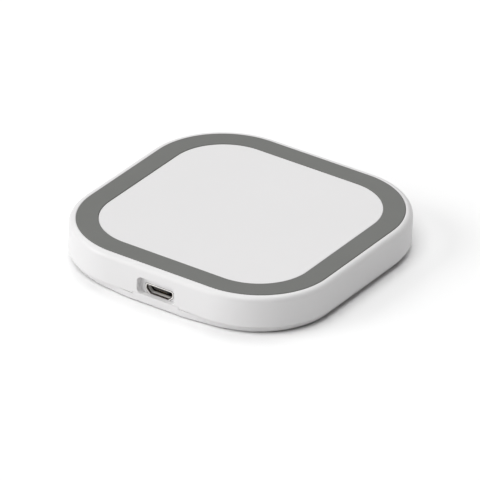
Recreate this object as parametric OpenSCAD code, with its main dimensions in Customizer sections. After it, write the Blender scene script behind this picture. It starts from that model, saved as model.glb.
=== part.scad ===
// Square wireless charging pad with a flush grip ring and a micro-USB socket in one side.
// +Z is up, the socket faces -Y, and the origin is on the table under the middle of the pad.

/* [Body] */
// Side of the square body
body_side = 72; // [70:0.5:78]
// Radius of the body's corners in plan
corner_r = 21.5; // [19:0.5:23]
// Height of the white rim above the table
rim_z = 10.1; // [10:0.1:11]
// Height of the shell's lower edge above the table
shell_edge_z = 2; // [2:0.05:2.3]
// Thickness of the shell's side walls
wall = 1.8; // [1.6:0.1:2]
// Thickness of the shell's deck under the middle of the pad
deck_t = 1.5; // [1.4:0.1:1.6]
// Radius of the shell's top outer edge
top_edge_r = 1.5; // [0.8:0.1:1.5]
// Radius of the shell's bottom outer edge
bottom_edge_r = 0.3; // [0.2:0.1:1]

/* [Grip ring] */
// Width of the white rim outside the grip ring
rim_w = 1.75; // [1.6:0.05:2]
// Width of the grip ring's band
ring_w = 5.5; // [4:0.5:6]
// Thickness of the grip ring
ring_t = 0.7; // [0.5:0.1:0.7]
// How far the grip ring stands above the rim
ring_proud = 0.1; // [0:0.05:0.2]

/* [Base] */
// How far the base's edge stands in from the shell's side
base_inset = 0.8; // [0.4:0.1:0.8]
// Thickness of the base's floor
floor_t = 1.2; // [1:0.1:1.3]
// How far the feet lift the base off the table
foot_lift = 0.3; // [0.3:0.1:0.6]
// Radius of each foot
foot_r = 4.5; // [4:0.25:5]
// Distance of the feet and screws from the middle, along X and along Y
foot_pitch = 23.7; // [23.5:0.1:24]

/* [Socket] */
// Width of the socket's mouth, inside
mouth_w = 7; // [6.9:0.05:7.1]
// Height of the socket's mouth, inside
mouth_h = 1.85; // [1.8:0.05:1.9]
// Height of the middle of the mouth above the table
mouth_z = 3.675; // [3.6:0.025:3.75]
// Width of the recess around the socket
recess_w = 10.9; // [10:0.1:11.5]
// Depth of the recess around the socket
recess_depth = 1.5; // [1.2:0.1:1.6]
// Height of the top of the recess above the table
recess_top_z = 7; // [6.8:0.1:7.2]

/* [Coil] */
// Half-turns in the winding; an odd number leads the outer end to the socket side
half_turns = 19; // [15:2:19]
// Radius of the innermost half-turn, to the middle of the wire
coil_r = 10.4; // [10:0.1:10.6]
// Radius of the stranded wire
wire_r = 0.65; // [0.6:0.05:0.65]
// Distance from one turn to the next
turn_pitch = 1.4; // [1.35:0.05:1.4]
// Radius of the ferrite disc
ferrite_r = 26; // [25.5:0.1:26]
// Thickness of the ferrite disc
ferrite_t = 1.2; // [1.2:0.05:1.3]

/* [Hidden] */

$fn = 96;
eps = 0.01;                              // overlap of a cutting solid past the face it opens
half_side = body_side / 2;
core = half_side - corner_r;             // distance of each corner's centre from the middle

// Heights
deck_z = rim_z - deck_t;                 // underside of the deck
ring_top_z = rim_z + ring_proud;
tape_t = 0.1;                            // thin adhesive and insulation sheets
ring_z = ring_top_z - ring_t;
groove_z = ring_z - tape_t;
floor_z = foot_lift + floor_t;           // upper face of the base's floor
seam = 0.2;                              // shadow gap between shell and base
band_z = shell_edge_z - seam;            // top of the base's visible band
lip_h = 1.1;                             // height of the base's locating lip
lip_z = shell_edge_z + lip_h;

// Insets from the body's outline
lip_gap = 0.15;
lip_t = 1;
ledge_inset = 1.3;
lip_inset = wall + lip_gap;
cavity_inset = lip_inset + lip_t;

// Fasteners and feet
foot_seat = 0.4;                         // depth of the foot's seat in the base
foot_t = foot_lift + foot_seat;
foot_gap = 0.2;
foot_edge_r = 0.25;
head_r = 1.9;
head_t = 1;
shank_r = 1;
pilot_r = 0.85;
shank_l = 5.4;
tip_l = 0.8;
tip_r = 0.2;
drive_w = 0.5;                           // width of the cross recess
drive_l = 2.2;
drive_depth = 0.55;
seat_z = foot_t + head_t + seam;         // face that each screw head pulls against
base_post_r = 3.2;
base_post_z = 3.4;
shell_post_r = 2.4;
screw_clear_r = 1.15;
head_gap = 0.2;
head_clear_r = head_r + head_gap;
tip_gap = 0.05;
pilot_top_z = seat_z + shank_l + tip_l + tip_gap;

// Socket
metal_t = 0.3;
flare = 0.25;                            // how far the mouth's lip stands out
flare_l = 0.35;
mouth_chamfer = 1;
mouth_gap = 0.1;                         // clearance between the lip and the shell's opening
mouth_y = -half_side + recess_depth;     // plane of the mouth and of the recess's floor
socket_l = 5.4;
mouth_low_z = mouth_z - mouth_h / 2;
recess_r = 1.2;                          // corner radius of the recess
recess_low_z = 2.6;
port_wall_t = 1.2;                       // wall behind the recess
port_wall_w = 15;
apron_w = 13.4;                          // width of the base's apron under the socket
apron_slope_w = 4;                       // width over which each end of the apron slopes back
apron_gap = 0.05;                        // clearance over the apron
apron_gap_w = apron_w + 0.2;             // opening in the shell's edge for the apron
relief_w = 8.4;                          // dip in the apron under the socket's lip
tongue_w = 4.4;
tongue_t = 0.6;
tongue_gap = 0.35;                       // free height over the tongue
tongue_low_z = mouth_low_z + mouth_h - tongue_gap - tongue_t;
tongue_set_back = 0.9;
block_l = 1.8;                           // length of the insulator's block behind the tongue
plug_l = socket_l - block_l;             // free depth behind the mouth
contact_w = 0.4;
contact_t = 0.15;
contact_pitch = 0.65;
contact_tail = 1.2;
contact_tip = 0.2;                       // bare plastic in front of the contacts
leg_w = 0.7;
leg_l = 1.1;
leg_ys = [mouth_y + 2.6, mouth_y + 4.3];

// Circuit board
board_t = 1;
board_z = 2.9;
board_top = board_z + board_t;
board_w = 34;
board_gap = 0.2;
board_front = mouth_y + port_wall_t + board_gap;
board_back = 3;
board_r = 3;
lip_break_w = board_w + 1;               // the lip stops here to let the board reach the socket's wall
notch_w = 7.8;
notch_back = mouth_y + socket_l + board_gap;
stake_x = 14.6;
stake_ys = [-24, 0.5];
stake_r = 0.8;
stake_hole_r = 0.9;
stake_post_r = 1.8;
stake_head_r = 1.4;
stake_head_t = 0.6;

// Coil
lead_r = 0.6;
lead_gap = 0.15;                         // clearance of each lead in its hole
lead_tail = 0.5;                         // length of each lead under the board
lead_bend_r = 1.2;
dip_r = 3.25;                            // bends that take the inner lead under the winding
dip_angle = asin(0.6);
lead_hole_y = -29;
outer_arc = 27;                          // degrees wound past the last whole half-turn
coil_tape_t = 0.15;
coil_top_z = deck_z - coil_tape_t;
coil_z = coil_top_z - wire_r;
ferrite_top_z = coil_z - wire_r - tape_t;
ferrite_z = ferrite_top_z - ferrite_t;
slot_w = 2;
half_pitch = turn_pitch / 2;
last_r = coil_r + half_turns * half_pitch;
outer_end = [half_pitch - last_r * cos(outer_arc), -last_r * sin(outer_arc)];
outer_run = (outer_end[1] - lead_hole_y) / cos(outer_arc);
outer_hole_x = outer_end[0] + outer_run * sin(outer_arc);
inner_z = coil_z - 2 * dip_r * (1 - cos(dip_angle));
inner_dip_l = 2 * dip_r * sin(dip_angle);
lead_holes = [[coil_r, lead_hole_y], [outer_hole_x, lead_hole_y]];
lead_low_z = board_z - lead_tail;
fence_gap = 0.4;
fence_r = ferrite_r + fence_gap;
fence_t = 0.8;
fence_angle = 36;
fence_starts = [27, 117, 244];

// Parts on the board: each entry is [x, y, turn]
resonant_places = [for (i = [0:3]) [-9.5 + 4.4 * i, -1.5, 90]];
input_places = [[-7, -26.2, 0], [7, -26.2, 0], [7, -23.6, 0]];
capacitor_places = [[-3.5, -23.5, 90], [-1.2, -23.5, 90], [1.1, -23.5, 90], [3.4, -23.5, 90],
    [-14.5, -14, 0], [-14.5, -10, 0], [2.5, -6, 90], [14.5, -16, 0]];
resistor_places = [for (i = [0:4]) [-13.5 + 2.4 * i, -5.6, 90],
    for (i = [0:3]) [14.5, -13.5 + 2.2 * i, 0],
    [-3.5, -19.5, 0], [-0.8, -19.5, 0]];
resonant_size = [3.2, 1.6, 1.5];
input_size = [2, 1.25, 1.2];
capacitor_size = [1.6, 0.8, 0.8];
resistor_size = [1.6, 0.8, 0.45];
cap_l = 0.3;                             // length of a chip part's metal ends
chip_x = -4.5;
chip_y = -12.5;
chip_w = 7;
chip_t = 1.4;
chip_pitch = 0.8;
bridge_x = 8.4;
bridge_ys = [-9.5, -17.5];
bridge_w = 3.9;
bridge_l = 4.9;
bridge_t = 1.5;
bridge_pitch = 1.27;
chip_lift = 0.1;
pin_w = 0.35;
pin_t = 0.15;
pin_reach = 1;
choke_x = -12;
choke_y = -19.8;
choke_w = 4.6;
choke_t = 1.8;

// Body outline in plan, brought in by inset
module plan(inset) {
    reach = half_side - inset;
    square([2 * reach, 2 * core], center = true);
    square([2 * core, 2 * reach], center = true);
    for (x = [-core, core], y = [-core, core])
        translate([x, y])
            circle(corner_r - inset);
}

// Flat plate of that outline from z0 to z1
module plate(inset, z0, z1) {
    translate([0, 0, z0])
        linear_extrude(z1 - z0)
            plan(inset);
}

// Carries a section round the body's outline; X is measured out from the corner's centre
module sweep_outline() {
    for (a = [0:90:270])
        rotate(a) {
            translate([core, core, 0])
                rotate_extrude(angle = 90)
                    children();
            translate([core, 0, 0])
                rotate([90, 0, 0])
                    linear_extrude(2 * core, center = true)
                        children();
        }
}

// Section of the shell's outside, rounded at its top and bottom outer edges
module shell_section() {
    low_x = corner_r - bottom_edge_r;
    high_x = corner_r - top_edge_r;
    translate([0, shell_edge_z])
        square([low_x, rim_z - shell_edge_z - top_edge_r]);
    translate([0, shell_edge_z + bottom_edge_r])
        square([high_x, rim_z - shell_edge_z - bottom_edge_r]);
    translate([0, shell_edge_z + bottom_edge_r])
        square([corner_r, rim_z - shell_edge_z - bottom_edge_r - top_edge_r]);
    translate([low_x, shell_edge_z + bottom_edge_r])
        circle(bottom_edge_r);
    translate([high_x, rim_z - top_edge_r])
        circle(top_edge_r);
}

// Section of the base's slab, with its bottom outer edge cut back
module base_section() {
    cut = 0.6;
    edge = corner_r - base_inset;
    polygon([[0, foot_lift], [edge - cut, foot_lift], [edge, foot_lift + cut], [edge, band_z], [0, band_z]]);
}

module at_feet() {
    for (x = [-foot_pitch, foot_pitch], y = [-foot_pitch, foot_pitch])
        translate([x, y, 0])
            children();
}

// Rounded opening of the recess, seen from the socket side
module recess_outline() {
    half_w = recess_w / 2 - recess_r;
    translate([-recess_w / 2, recess_low_z + recess_r])
        square([recess_w, recess_top_z - recess_low_z - 2 * recess_r]);
    translate([-half_w, recess_low_z])
        square([2 * half_w, recess_top_z - recess_low_z]);
    for (x = [-half_w, half_w], z = [recess_low_z + recess_r, recess_top_z - recess_r])
        translate([x, z])
            circle(recess_r);
}

// Socket outline seen from the front: wide side up, lower corners cut, grown by t
module mouth_outline(t) {
    half_w = mouth_w / 2 + t;
    low = mouth_low_z - t;
    high = mouth_low_z + mouth_h + t;
    bevel = mouth_chamfer + (2 - sqrt(2)) * t;
    polygon([[-half_w, high], [-half_w, low + bevel], [-half_w + bevel, low],
        [half_w - bevel, low], [half_w, low + bevel], [half_w, high]]);
}

// Stands a front-view outline up and runs it back from y0 to y1
module run_back(y0, y1) {
    translate([0, y1, 0])
        rotate([90, 0, 0])
            linear_extrude(y1 - y0)
                children();
}

// Low arcs under the deck that hold the ferrite disc in place
module coil_fence() {
    for (start = fence_starts)
        rotate(start)
            rotate_extrude(angle = fence_angle)
                translate([fence_r, ferrite_z])
                    square([fence_t, deck_z - ferrite_z + eps]);
}

module top_shell() {
    color("white")
        difference() {
            union() {
                difference() {
                    union() {
                        sweep_outline()
                            shell_section();
                        translate([-core, -core, shell_edge_z])
                            cube([2 * core, 2 * core, rim_z - shell_edge_z]);
                    }
                    plate(wall, shell_edge_z - 1, deck_z);
                }
                translate([-port_wall_w / 2, mouth_y, shell_edge_z])
                    cube([port_wall_w, port_wall_t, deck_z - shell_edge_z + eps]);
                at_feet()
                    translate([0, 0, base_post_z])
                        cylinder(h = deck_z - base_post_z + eps, r = shell_post_r);
                coil_fence();
            }
            difference() {
                plate(rim_w, groove_z, rim_z + 1);
                plate(rim_w + ring_w, groove_z - 1, rim_z + 2);
            }
            run_back(-half_side - 1, mouth_y)
                recess_outline();
            run_back(mouth_y - eps, mouth_y + port_wall_t + eps)
                mouth_outline(metal_t + flare + mouth_gap);
            translate([-apron_gap_w / 2, -half_side - 1, shell_edge_z - 1])
                cube([apron_gap_w, wall + port_wall_t + 2, recess_low_z + apron_gap - shell_edge_z + 1]);
            at_feet()
                translate([0, 0, base_post_z - eps])
                    cylinder(h = pilot_top_z - base_post_z, r = pilot_r);
        }
}

module grip_ring() {
    color("dimgray")
        difference() {
            plate(rim_w, ring_z, ring_top_z);
            plate(rim_w + ring_w, ring_z - 1, ring_top_z + 1);
        }
}

module ring_tape() {
    margin = 0.4;
    color("gainsboro")
        difference() {
            plate(rim_w + margin, groove_z, ring_z);
            plate(rim_w + ring_w - margin, groove_z - 1, ring_z + 1);
        }
}

module stake_posts() {
    for (x = [-stake_x, stake_x], y = stake_ys)
        translate([x, y, 0]) {
            translate([0, 0, floor_z - eps])
                cylinder(h = board_z - floor_z + eps, r = stake_post_r);
            translate([0, 0, board_z - eps])
                cylinder(h = board_t + 2 * eps, r = stake_r);
            translate([0, 0, board_top])
                cylinder(h = stake_head_t, r1 = stake_head_r, r2 = stake_r);
        }
}

// Part of the base that stands flush with the shell and closes it under the socket; below the shell's
// edge its ends slope back to the base's side
module socket_apron() {
    cut = 0.25;
    back = recess_depth + port_wall_t;
    intersection() {
        translate([-half_side, -half_side, 0])
            rotate([90, 0, 90])
                linear_extrude(body_side)
                    polygon([[cut, foot_lift], [back, foot_lift], [back, recess_low_z],
                        [0, recess_low_z], [0, foot_lift + cut]]);
        union() {
            translate([-apron_w / 2, -half_side - 1, foot_lift - 1])
                cube([apron_w, back + 2, recess_low_z + 1]);
            translate([0, -half_side, foot_lift - 1])
                linear_extrude(band_z - foot_lift + 1)
                    polygon([[-apron_w / 2, 0], [apron_w / 2, 0],
                        [apron_w / 2 + apron_slope_w, back], [-apron_w / 2 - apron_slope_w, back]]);
        }
    }
}

module base_plate() {
    color("whitesmoke")
        difference() {
            union() {
                difference() {
                    union() {
                        sweep_outline()
                            base_section();
                        translate([-core, -core, foot_lift])
                            cube([2 * core, 2 * core, band_z - foot_lift]);
                        plate(ledge_inset, band_z, shell_edge_z);
                        plate(lip_inset, shell_edge_z, lip_z);
                    }
                    plate(cavity_inset, floor_z, lip_z + 1);
                    translate([-lip_break_w / 2, -half_side, shell_edge_z])
                        cube([lip_break_w, cavity_inset + 1, lip_h + 1]);
                }
                socket_apron();
                at_feet()
                    translate([0, 0, floor_z - eps])
                        cylinder(h = base_post_z - floor_z + eps, r = base_post_r);
                stake_posts();
            }
            translate([-relief_w / 2, mouth_y, shell_edge_z])
                cube([relief_w, port_wall_t + 1, 1]);
            at_feet() {
                translate([0, 0, foot_lift - 1])
                    cylinder(h = foot_seat + 1, r = foot_r + foot_gap);
                translate([0, 0, foot_lift])
                    cylinder(h = seat_z - foot_lift, r = head_clear_r);
                translate([0, 0, seat_z - eps])
                    cylinder(h = base_post_z, r = screw_clear_r);
            }
        }
}

// Round foot with a softened edge where it meets the table
module foot(x, y) {
    color("lightgray")
        translate([x, y, 0])
            rotate_extrude() {
                translate([0, foot_edge_r])
                    square([foot_r, foot_t - foot_edge_r]);
                square([foot_r - foot_edge_r, foot_t]);
                translate([foot_r - foot_edge_r, foot_edge_r])
                    intersection() {
                        circle(foot_edge_r);
                        translate([0, -foot_edge_r])
                            square(2 * foot_edge_r);
                    }
            }
}

module base_screws() {
    color("silver")
        at_feet()
            difference() {
                union() {
                    translate([0, 0, seat_z - head_t])
                        cylinder(h = head_t, r = head_r);
                    translate([0, 0, seat_z - eps])
                        cylinder(h = shank_l + eps, r = shank_r);
                    translate([0, 0, seat_z + shank_l])
                        cylinder(h = tip_l, r1 = shank_r, r2 = tip_r);
                }
                for (a = [0, 90])
                    rotate(a)
                        translate([-drive_l / 2, -drive_w / 2, seat_z - head_t - 1])
                            cube([drive_l, drive_w, drive_depth + 1]);
            }
}

// Board outline: square corners trimmed to an arc, with a slot for the socket
module board_outline() {
    depth = board_back - board_front;
    difference() {
        union() {
            translate([-board_w / 2, board_front + board_r])
                square([board_w, depth - 2 * board_r]);
            translate([-board_w / 2 + board_r, board_front])
                square([board_w - 2 * board_r, depth]);
            for (x = [-1, 1] * (board_w / 2 - board_r), y = [board_front + board_r, board_back - board_r])
                translate([x, y])
                    circle(board_r);
        }
        translate([-notch_w / 2, board_front - 1])
            square([notch_w, notch_back - board_front + 1]);
        for (x = [-stake_x, stake_x], y = stake_ys)
            translate([x, y])
                circle(stake_hole_r);
        for (place = lead_holes)
            translate(place)
                circle(lead_r + lead_gap);
    }
}

module circuit_board() {
    color("seagreen")
        translate([0, 0, board_z])
            linear_extrude(board_t)
                board_outline();
}

module usb_shell() {
    color("silver") {
        difference() {
            union() {
                run_back(mouth_y, mouth_y + socket_l)
                    mouth_outline(metal_t);
                run_back(mouth_y, mouth_y + flare_l)
                    mouth_outline(metal_t + flare);
                for (side = [-1, 1], y = leg_ys)
                    translate([side * (mouth_w / 2 + metal_t / 2 + leg_l / 2) - leg_l / 2, y, board_top])
                        cube([leg_l, leg_w, metal_t]);
            }
            run_back(mouth_y - 1, mouth_y + socket_l + 1)
                mouth_outline(0);
        }
    }
}

// Strips under the tongue that run back, step up behind the block and end flat on the board
module contact_strips() {
    strip_y = mouth_y + tongue_set_back + contact_tip;
    back_y = mouth_y + socket_l;
    for (i = [-2:2])
        translate([i * contact_pitch - contact_w / 2, 0, 0]) {
            translate([0, strip_y, tongue_low_z - contact_t])
                cube([contact_w, back_y + contact_t - strip_y, contact_t]);
            translate([0, back_y, tongue_low_z - contact_t])
                cube([contact_w, contact_t, board_top + 2 * contact_t - tongue_low_z]);
            translate([0, back_y, board_top])
                cube([contact_w, contact_tail, contact_t]);
        }
}

module usb_insulator() {
    color("black")
        difference() {
            union() {
                run_back(mouth_y + plug_l, mouth_y + socket_l)
                    mouth_outline(0);
                translate([-tongue_w / 2, mouth_y + tongue_set_back, tongue_low_z])
                    cube([tongue_w, plug_l - tongue_set_back + eps, tongue_t]);
            }
            contact_strips();
        }
}

module usb_contacts() {
    color("gold")
        contact_strips();
}

// Flat spiral of half-turns; the lower halves turn about a centre half a pitch to the right
module coil_winding() {
    color("peru")
        translate([0, 0, coil_z]) {
            for (k = [0:half_turns - 1])
                translate([k % 2 * half_pitch, 0, 0])
                    rotate(180 * (k % 2))
                        rotate_extrude(angle = 180)
                            translate([coil_r + k * half_pitch, 0])
                                circle(wire_r, $fn = 24);
            translate([half_pitch, 0, 0])
                rotate(180)
                    rotate_extrude(angle = outer_arc)
                        translate([last_r, 0])
                            circle(wire_r, $fn = 24);
        }
}

// Straight stretch of lead along -Y from the origin
module lead_run(l) {
    rotate([90, 0, 0])
        cylinder(h = l, r = lead_r, $fn = 24);
}

// Bend that starts level at the origin, runs along -Y and turns down by a degrees
module lead_bend_down(r, a) {
    translate([0, 0, -r])
        rotate([0, -90, 180])
            rotate_extrude(angle = a)
                translate([r, 0])
                    circle(lead_r, $fn = 24);
}

// Bend that comes down at a degrees and ends level at the origin, along -Y
module lead_bend_level(r, a) {
    translate([0, 0, r])
        rotate([0, 90, 0])
            rotate_extrude(angle = a)
                translate([r, 0])
                    circle(lead_r, $fn = 24);
}

// Last stretch: a quarter bend, then straight down through the board
module lead_drop(z) {
    lead_bend_down(lead_bend_r, 90);
    translate([0, -lead_bend_r, lead_low_z - z])
        cylinder(h = z - lead_bend_r - lead_low_z, r = lead_r, $fn = 24);
}

module coil_lead_outer() {
    run = outer_run - lead_bend_r;
    color("peru")
        translate([outer_end[0], outer_end[1], coil_z])
            rotate(outer_arc) {
                lead_run(run);
                translate([0, -run, 0])
                    lead_drop(coil_z);
            }
}

module coil_lead_inner() {
    run = -lead_hole_y - inner_dip_l - lead_bend_r;
    color("peru")
        translate([coil_r, 0, coil_z]) {
            lead_bend_down(dip_r, dip_angle);
            translate([0, -inner_dip_l, inner_z - coil_z]) {
                lead_bend_level(dip_r, dip_angle);
                lead_run(run);
                translate([0, -run, 0])
                    lead_drop(inner_z);
            }
        }
}

module coil_tape() {
    margin = 0.4;
    color("gainsboro")
        translate([0, 0, coil_top_z])
            difference() {
                cylinder(h = coil_tape_t, r = last_r - margin);
                translate([0, 0, -1])
                    cylinder(h = 2, r = coil_r + margin);
            }
}

// Disc with a slot that lets the inner lead out under the winding
module slotted_disc(r, z, t) {
    translate([0, 0, z])
        difference() {
            cylinder(h = t, r = r);
            translate([coil_r - slot_w / 2, -r - 1, -1])
                cube([slot_w, r + 2, t + 2]);
        }
}

module ferrite_shield() {
    color("darkslategray")
        slotted_disc(ferrite_r, ferrite_z, ferrite_t);
}

module ferrite_tape() {
    color("gainsboro")
        slotted_disc(last_r, ferrite_top_z, tape_t);
}

module insulation_sheet() {
    color("orange")
        translate([0, 0, ferrite_z - tape_t])
            cylinder(h = tape_t, r = ferrite_r);
}

// Solder cones above and below the board round each lead
module lead_solder() {
    pad_r = 1.3;
    cone_h = 0.5;
    tip_w = 0.1;
    color("lightgray")
        for (place = lead_holes, side = [0, 1])
            translate([place[0], place[1], board_z + side * board_t])
                mirror([0, 0, 1 - side])
                    rotate_extrude()
                        polygon([[lead_r, 0], [pad_r, 0], [lead_r + tip_w, cone_h], [lead_r, cone_h]]);
}

// Gull-wing pin seen from its side, from the chip's body at x = 0 down to the board
module pin_section(body_t) {
    top = body_t / 2;
    bend = pin_reach / 2;
    polygon([[0, top], [bend, top], [bend, 0], [pin_reach, 0], [pin_reach, pin_t],
        [bend + pin_t, pin_t], [bend + pin_t, top + pin_t], [0, top + pin_t]]);
}

// Row of n pins that leave a body of width w along +X
module pin_row(w, n, pitch, body_t) {
    for (i = [0:n - 1])
        translate([w / 2, (i - (n - 1) / 2) * pitch + pin_w / 2, board_top])
            rotate([90, 0, 0])
                linear_extrude(pin_w)
                    pin_section(body_t);
}

// Moulded chip body, bevelled round the top
module chip_body(w, l, t) {
    bevel = 0.2;
    translate([-w / 2, -l / 2, board_top + chip_lift])
        cube([w, l, t - bevel]);
    translate([-w / 2 + bevel, -l / 2 + bevel, board_top + chip_lift])
        cube([w - 2 * bevel, l - 2 * bevel, t]);
}

module control_chip() {
    color("black")
        translate([chip_x, chip_y, 0])
            chip_body(chip_w, chip_w, chip_t);
}

module control_chip_pins() {
    color("silver")
        translate([chip_x, chip_y, 0])
            for (a = [0:90:270])
                rotate(a)
                    pin_row(chip_w, 8, chip_pitch, chip_t);
}

module bridge_chip(y) {
    color("black")
        translate([bridge_x, y, 0])
            chip_body(bridge_w, bridge_l, bridge_t);
}

module bridge_chip_pins() {
    color("silver")
        for (y = bridge_ys, a = [0, 180])
            translate([bridge_x, y, 0])
                rotate(a)
                    pin_row(bridge_w, 4, bridge_pitch, bridge_t);
}

module choke_core() {
    corner = 0.9;
    half_w = choke_w / 2;
    color("dimgray")
        translate([choke_x, choke_y, board_top + chip_lift])
            linear_extrude(choke_t - chip_lift)
                polygon([[-half_w, corner - half_w], [corner - half_w, -half_w], [half_w - corner, -half_w],
                    [half_w, corner - half_w], [half_w, half_w - corner], [half_w - corner, half_w],
                    [corner - half_w, half_w], [-half_w, half_w - corner]]);
}

module choke_terminals() {
    pad_l = 1.1;
    pad_w = 2.2;
    color("silver")
        for (side = [-1, 1])
            translate([choke_x + side * (choke_w - pad_l) / 2 - pad_l / 2, choke_y - pad_w / 2, board_top])
                cube([pad_l, pad_w, chip_lift]);
}

// Middles of the two-ended chip parts, without their metal ends
module chip_middles(places, size) {
    for (place = places)
        translate([place[0], place[1], board_top])
            rotate(place[2])
                translate([cap_l - size[0] / 2, -size[1] / 2, 0])
                    cube([size[0] - 2 * cap_l, size[1], size[2]]);
}

module chip_ends(places, size) {
    for (place = places, side = [0, 1])
        translate([place[0], place[1], board_top])
            rotate(place[2] + 180 * side)
                translate([size[0] / 2 - cap_l, -size[1] / 2, 0])
                    cube([cap_l, size[1], size[2]]);
}

module resonant_capacitors() {
    color("tan")
        chip_middles(resonant_places, resonant_size);
}

module input_capacitors() {
    color("tan")
        chip_middles(input_places, input_size);
}

module chip_capacitors() {
    color("tan")
        chip_middles(capacitor_places, capacitor_size);
}

module chip_resistors() {
    color("black")
        chip_middles(resistor_places, resistor_size);
}

module chip_terminals() {
    color("silver") {
        chip_ends(resonant_places, resonant_size);
        chip_ends(input_places, input_size);
        chip_ends(capacitor_places, capacitor_size);
        chip_ends(resistor_places, resistor_size);
    }
}

top_shell();
grip_ring();
ring_tape();
base_plate();
foot(-foot_pitch, -foot_pitch);  // foot_front_left
foot(foot_pitch, -foot_pitch);  // foot_front_right
foot(-foot_pitch, foot_pitch);  // foot_back_left
foot(foot_pitch, foot_pitch);  // foot_back_right
base_screws();
circuit_board();
usb_shell();
usb_insulator();
usb_contacts();
coil_winding();
coil_tape();
ferrite_shield();
ferrite_tape();
insulation_sheet();
coil_lead_inner();
coil_lead_outer();
lead_solder();
control_chip();
control_chip_pins();
bridge_chip(bridge_ys[1]);  // bridge_chip_left
bridge_chip(bridge_ys[0]);  // bridge_chip_right
bridge_chip_pins();
choke_core();
choke_terminals();
resonant_capacitors();
input_capacitors();
chip_capacitors();
chip_resistors();
chip_terminals();
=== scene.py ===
"""Square wireless charging pad: finished meshes, finishes and a small studio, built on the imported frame."""

import math

import bmesh
import bpy
from bpy.props import FloatProperty, FloatVectorProperty, IntProperty, PointerProperty
from mathutils import Matrix, Vector


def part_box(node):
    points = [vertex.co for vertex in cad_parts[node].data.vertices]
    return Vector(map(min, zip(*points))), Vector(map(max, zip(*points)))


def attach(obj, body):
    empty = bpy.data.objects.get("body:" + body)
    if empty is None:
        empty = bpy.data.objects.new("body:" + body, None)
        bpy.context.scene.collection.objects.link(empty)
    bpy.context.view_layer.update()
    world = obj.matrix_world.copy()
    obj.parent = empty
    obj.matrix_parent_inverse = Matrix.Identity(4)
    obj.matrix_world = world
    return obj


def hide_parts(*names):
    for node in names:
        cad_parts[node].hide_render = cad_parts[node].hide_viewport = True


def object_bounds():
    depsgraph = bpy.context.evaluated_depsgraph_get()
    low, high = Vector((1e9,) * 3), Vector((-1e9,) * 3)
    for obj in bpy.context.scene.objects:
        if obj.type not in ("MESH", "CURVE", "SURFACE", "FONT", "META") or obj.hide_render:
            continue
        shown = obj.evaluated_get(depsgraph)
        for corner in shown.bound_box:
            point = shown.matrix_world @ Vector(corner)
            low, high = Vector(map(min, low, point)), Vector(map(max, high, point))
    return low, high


bl_info = {
    "name": "Wireless Charging Pad",
    "version": (1, 0, 0),
    "blender": (4, 5, 0),
    "location": "View3D > Sidebar > Charging Pad",
    "description": "Builds a square charging pad with a flush grip ring on its packed frame",
    "category": "Add Mesh",
}

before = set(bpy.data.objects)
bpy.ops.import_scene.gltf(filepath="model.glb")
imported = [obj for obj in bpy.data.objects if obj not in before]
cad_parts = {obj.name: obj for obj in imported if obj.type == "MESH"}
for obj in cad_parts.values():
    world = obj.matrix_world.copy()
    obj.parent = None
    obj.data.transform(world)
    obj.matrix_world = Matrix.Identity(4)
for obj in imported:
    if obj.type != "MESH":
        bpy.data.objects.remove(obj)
CAD_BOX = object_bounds()

BODY = "root"
QUARTER = math.pi / 2
STRANDS = 5  # in the winding's wire
PAST = 0.0001  # how far a cutter reaches past a face
LAP = 0.0002  # how far joined parts overlap
TIP = 0.0001  # radius of the flat in the middle of a turned piece

# Kinds of setting
LENGTH = {"subtype": "DISTANCE", "unit": "LENGTH"}
TURN = {"subtype": "ANGLE", "unit": "ROTATION"}
COLOUR = {"subtype": "COLOR", "size": 3, "min": 0, "max": 1}


# Places that come from the frame

def low(node):
    """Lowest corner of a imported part."""
    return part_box(node)[0]


def high(node):
    """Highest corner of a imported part."""
    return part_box(node)[1]


HALF_SIDE = high("top_shell").x
RIM_LEVEL = high("top_shell").z
SHELL_EDGE = low("top_shell").z
RING_LEVEL = high("grip_ring").z
RIM_WIDTH = HALF_SIDE - high("grip_ring").x
FOOT_PITCH = (low("foot_front_right").x + high("foot_front_right").x) / 2
FOOT_PLACES = [(x, y) for x in (-FOOT_PITCH, FOOT_PITCH) for y in (-FOOT_PITCH, FOOT_PITCH)]
FOOT_RADIUS = (high("foot_front_right").x - low("foot_front_right").x) / 2
FOOT_TOP = high("foot_front_right").z
COIL_LEVEL = (low("coil_winding").z + high("coil_winding").z) / 2
WIRE_RADIUS = (high("coil_winding").z - low("coil_winding").z) / 2


# Sums on node sockets

class Value:
    """An output socket that can be used in sums. Each sum adds a Math node."""

    def __init__(self, graph, socket):
        self.graph = graph
        self.socket = socket

    def __add__(self, other):
        return self.graph.maths("ADD", self, other)

    def __radd__(self, other):
        return self.graph.maths("ADD", other, self)

    def __sub__(self, other):
        return self.graph.maths("SUBTRACT", self, other)

    def __rsub__(self, other):
        return self.graph.maths("SUBTRACT", other, self)

    def __mul__(self, other):
        return self.graph.maths("MULTIPLY", self, other)

    def __rmul__(self, other):
        return self.graph.maths("MULTIPLY", other, self)

    def __truediv__(self, other):
        return self.graph.maths("DIVIDE", self, other)

    def __rtruediv__(self, other):
        return self.graph.maths("DIVIDE", other, self)


class Node:
    """A node whose outputs are read by identifier."""

    def __init__(self, graph, node):
        self.graph = graph
        self.node = node

    def __getitem__(self, identifier):
        found = [s for s in self.node.outputs if s.identifier == identifier]
        return Value(self.graph, found[0])


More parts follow.
